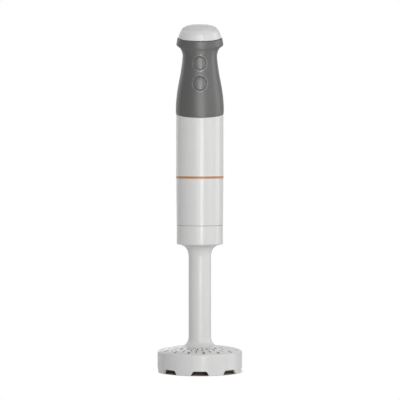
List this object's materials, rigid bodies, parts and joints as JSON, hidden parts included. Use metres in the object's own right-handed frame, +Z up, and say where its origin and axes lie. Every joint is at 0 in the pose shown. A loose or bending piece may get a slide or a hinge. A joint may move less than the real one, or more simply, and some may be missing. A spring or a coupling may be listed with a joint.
{
  "type": "immersion blender",
  "caption": "Hand-held immersion blender with a soft-touch grip, push buttons and a speed dial, fitted with a slotted masher attachment",
  "frame": {"origin": "On the blender's axis, in the plane of the masher rim's bottom edge", "axes": "+Z up along the blender's axis; the buttons face -Y; +X is to the right of someone facing the buttons"},
  "size_m": [0.0974, 0.0974, 0.3991],
  "materials": {
    "white_plastic": "satin white moulding",
    "grey_soft_touch": "matt grey moulding",
    "orange_trim": "orange moulding",
    "paddle_plastic": "dark moulding",
    "gear_nylon": "natural nylon",
    "inner_plastic": "black moulding",
    "steel": "ground steel",
    "lamination": "stacked laminations",
    "copper": "enamelled copper",
    "carbon": "black",
    "rubber": "black rubber",
    "bronze": "sintered bronze",
    "board": "green board"
  },
  "bodies": {
    "masher": {"masher_shaft": "white_plastic", "masher_foot": "white_plastic", "lower_bush": "bronze", "shaft_seal": "rubber", "collar_shell": "white_plastic", "ring_gear": "gear_nylon", "gearbox_cover": "gear_nylon", "pinion_bush": "bronze", "gearbox_screw_1": "steel", "gearbox_screw_2": "steel", "gearbox_screw_3": "steel"},
    "handle": {"coupling_nose": "inner_plastic", "nose_seal": "rubber", "lower_housing": "white_plastic", "trim_ring": "orange_trim", "motor_housing": "white_plastic", "grip_front": "grey_soft_touch", "grip_rear": "grey_soft_touch", "grip_screw_lower": "steel", "grip_screw_upper": "steel", "cord_gland": "rubber", "inner_chassis": "inner_plastic", "circuit_board": "board", "turbo_switch": "carbon", "speed_switch": "carbon", "cord_clamp": "inner_plastic", "speed_potentiometer": "inner_plastic", "field_core": "lamination", "field_coil_front": "copper", "field_coil_rear": "copper", "lower_motor_bracket": "inner_plastic", "upper_motor_bracket": "inner_plastic", "lower_bearing": "steel", "upper_bearing": "steel", "brush_holder_left": "bronze", "brush_holder_right": "bronze", "carbon_brush_left": "carbon", "carbon_brush_right": "carbon"},
    "dial": {"speed_dial": "white_plastic", "dial_spindle": "steel"},
    "turbo_key": {"turbo_button": "grey_soft_touch"},
    "speed_key": {"speed_button": "grey_soft_touch"},
    "armature": {"motor_shaft": "steel", "armature_core": "lamination", "armature_winding_lower": "copper", "armature_winding_upper": "copper", "commutator": "copper", "motor_fan": "inner_plastic", "drive_socket": "steel"},
    "pinion": {"input_pinion": "steel"},
    "mixer": {"planet_carrier": "steel", "drive_shaft": "steel", "masher_paddle": "paddle_plastic"},
    "planet_a": {"planet_gear_1": "gear_nylon"},
    "planet_b": {"planet_gear_2": "gear_nylon"},
    "planet_c": {"planet_gear_3": "gear_nylon"}
  },
  "joints": [
    {"name": "handle_lift", "type": "slide", "parent": "masher", "child": "handle", "axis": [0, 0, 1], "range_m": [0, 0.04]},
    {"name": "dial_turn", "type": "hinge", "parent": "handle", "child": "dial", "pos_m": [0, 0, 0.3827], "axis": [0, 0.2215, -0.9751], "range_deg": [0, 270]},
    {"name": "turbo_press", "type": "slide", "parent": "handle", "child": "turbo_key", "axis": [0, 1, 0], "range_m": [0, 0.002], "stiffness_N_per_m": 600, "springref_m": -0.002},
    {"name": "speed_press", "type": "slide", "parent": "handle", "child": "speed_key", "axis": [0, 1, 0], "range_m": [0, 0.002], "stiffness_N_per_m": 600, "springref_m": -0.002},
    {"name": "armature_spin", "type": "hinge", "parent": "handle", "child": "armature", "pos_m": [0, 0, 0.22], "axis": [0, 0, 1], "continuous": true},
    {"name": "pinion_spin", "type": "hinge", "parent": "masher", "child": "pinion", "pos_m": [0, 0, 0.155], "axis": [0, 0, 1], "continuous": true},
    {"name": "mixer_spin", "type": "hinge", "parent": "masher", "child": "mixer", "pos_m": [0, 0, 0.1], "axis": [0, 0, 1], "continuous": true},
    {"name": "planet_a_spin", "type": "hinge", "parent": "mixer", "child": "planet_a", "pos_m": [0, 0.012, 0.1525], "axis": [0, 0, 1], "continuous": true},
    {"name": "planet_b_spin", "type": "hinge", "parent": "mixer", "child": "planet_b", "pos_m": [-0.01039, -0.006, 0.1525], "axis": [0, 0, 1], "continuous": true},
    {"name": "planet_c_spin", "type": "hinge", "parent": "mixer", "child": "planet_c", "pos_m": [0.01039, -0.006, 0.1525], "axis": [0, 0, 1], "continuous": true}
  ],
  "couplings": [
    {"joint": "pinion_spin", "follows": "armature_spin", "ratio": 1},
    {"joint": "mixer_spin", "follows": "armature_spin", "ratio": 0.2},
    {"joint": "planet_a_spin", "follows": "armature_spin", "ratio": -0.53333},
    {"joint": "planet_b_spin", "follows": "armature_spin", "ratio": -0.53333},
    {"joint": "planet_c_spin", "follows": "armature_spin", "ratio": -0.53333}
  ]
}
